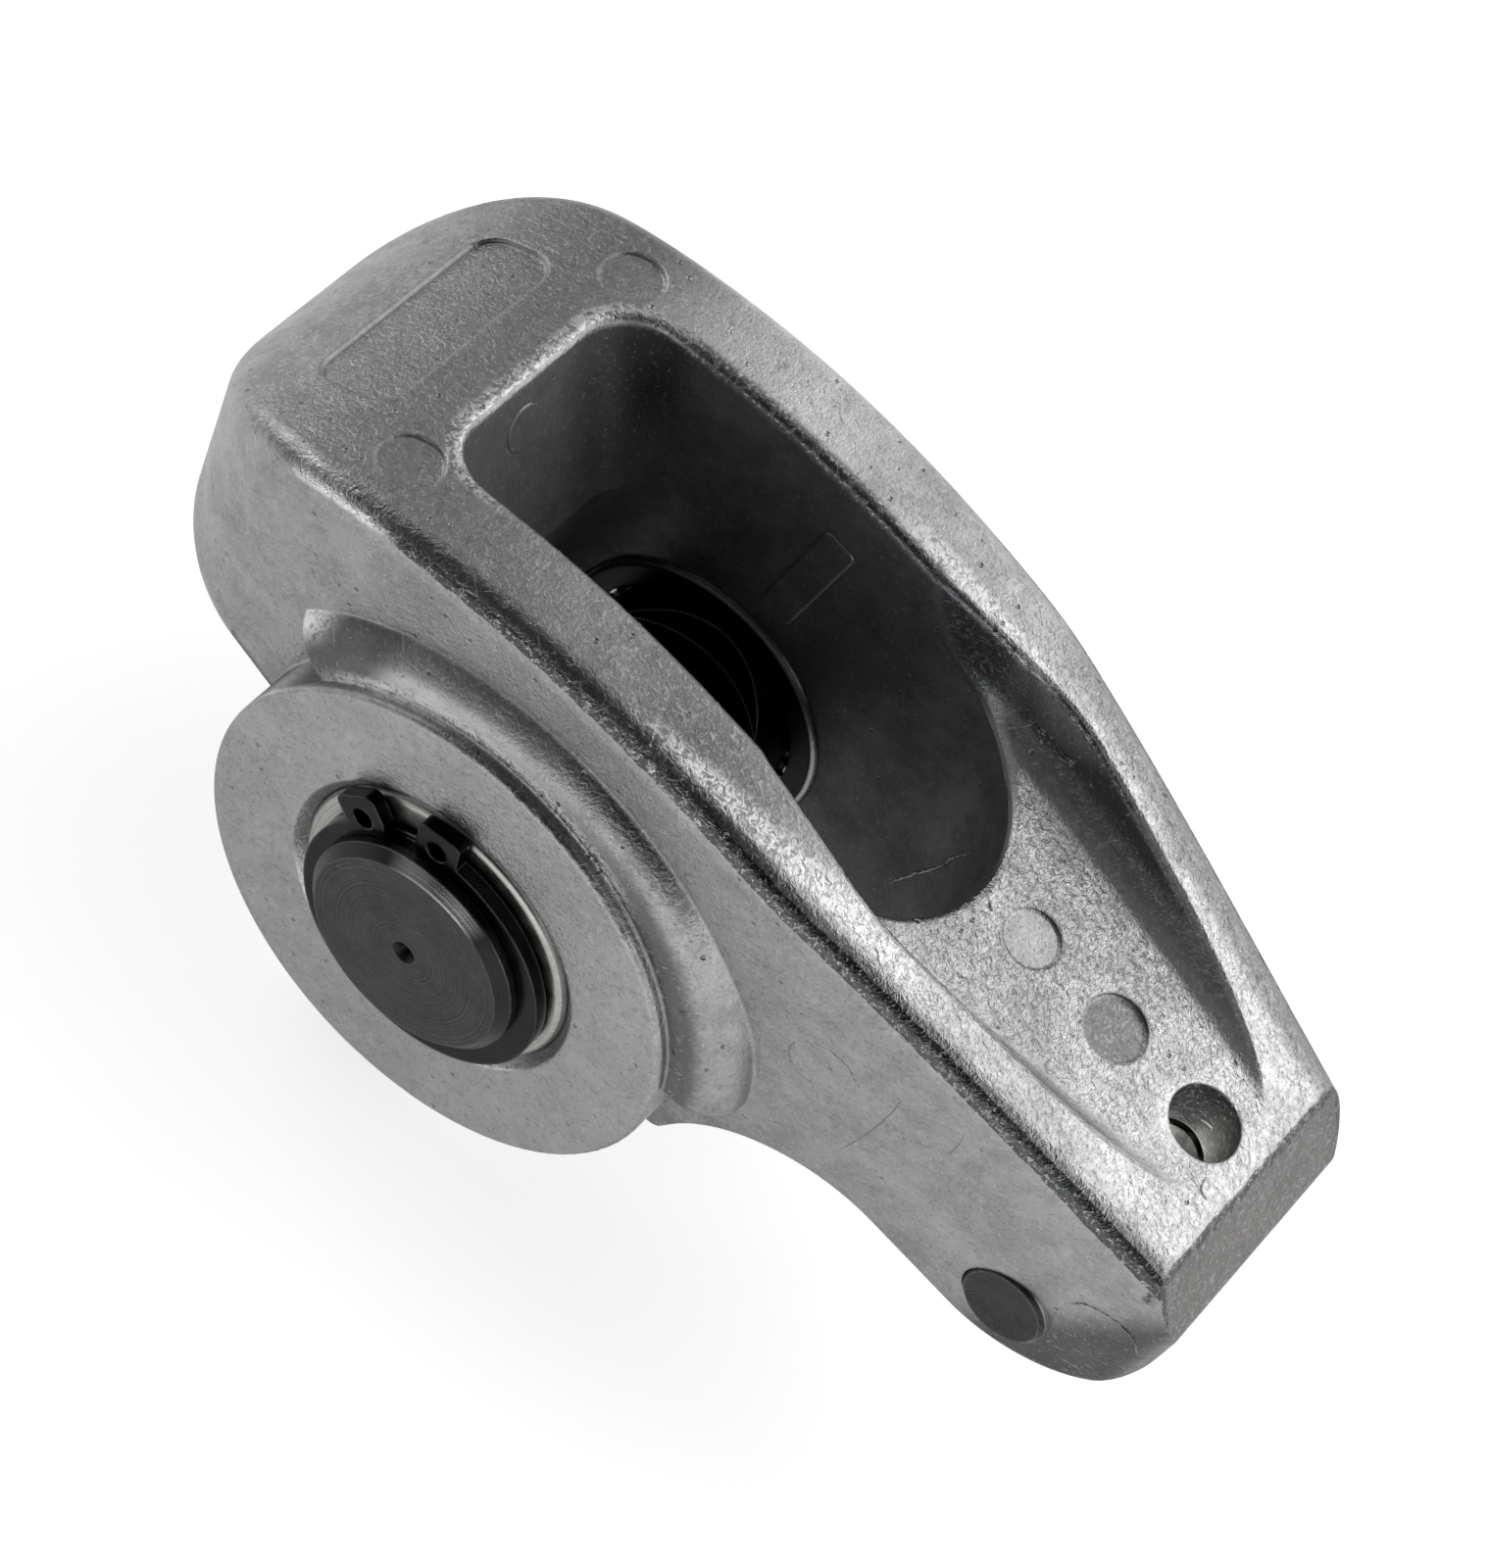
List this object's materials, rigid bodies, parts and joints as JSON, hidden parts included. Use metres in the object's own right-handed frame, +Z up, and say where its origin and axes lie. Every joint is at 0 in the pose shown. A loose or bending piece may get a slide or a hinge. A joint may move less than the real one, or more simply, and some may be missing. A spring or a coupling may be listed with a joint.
{
  "type": "roller rocker arm",
  "caption": "Stud-mounted roller rocker arm: a die-cast lever that rocks on a trunnion in needle bearings, with a roller tip at one end and a pushrod seat at the other.",
  "frame": {"origin": "centre of the trunnion, on the axis of the stud hole, midway between the two bosses", "axes": "+X from the trunnion towards the roller tip, +Y along the trunnion, +Z up the stud towards its nut"},
  "size_m": [0.0832, 0.0414, 0.0448],
  "materials": {
    "cast_aluminium": "as-cast, fine grain, tumbled edges",
    "black_oxide_steel": "turned, black oxide",
    "drawn_cup_steel": "drawn, satin",
    "bearing_steel": "ground",
    "spring_steel": "stamped, phosphated",
    "pin_steel": "hardened, dark ends",
    "ground_steel": "ground and honed",
    "seat_steel": "hardened, ground"
  },
  "bodies": {
    "trunnion": {"trunnion": "black_oxide_steel", "near_ring": "spring_steel", "far_ring": "spring_steel"},
    "arm": {"arm_body": "cast_aluminium", "near_cup": "drawn_cup_steel", "far_cup": "drawn_cup_steel", "pushrod_seat": "seat_steel", "roller_pin": "pin_steel"},
    "roller": {"roller_tip": "ground_steel"},
    "near_needle_set": {"near_needles": "bearing_steel"},
    "far_needle_set": {"far_needles": "bearing_steel"}
  },
  "joints": [
    {"name": "rocking", "type": "hinge", "parent": "trunnion", "child": "arm", "pos_m": [0, 0, 0], "axis": [0, 1, 0], "range_deg": [-20, 14]},
    {"name": "roller_spin", "type": "hinge", "parent": "arm", "child": "roller", "pos_m": [0.0419, 0, 0.002], "axis": [0, 1, 0], "continuous": true},
    {"name": "near_needle_roll", "type": "hinge", "parent": "trunnion", "child": "near_needle_set", "pos_m": [0, 0, 0], "axis": [0, 1, 0], "range_deg": [-11.2, 7.9]},
    {"name": "far_needle_roll", "type": "hinge", "parent": "trunnion", "child": "far_needle_set", "pos_m": [0, 0, 0], "axis": [0, 1, 0], "range_deg": [-11.2, 7.9]}
  ],
  "couplings": [
    {"joint": "near_needle_roll", "follows": "rocking", "ratio": 0.5475},
    {"joint": "far_needle_roll", "follows": "rocking", "ratio": 0.5475}
  ]
}
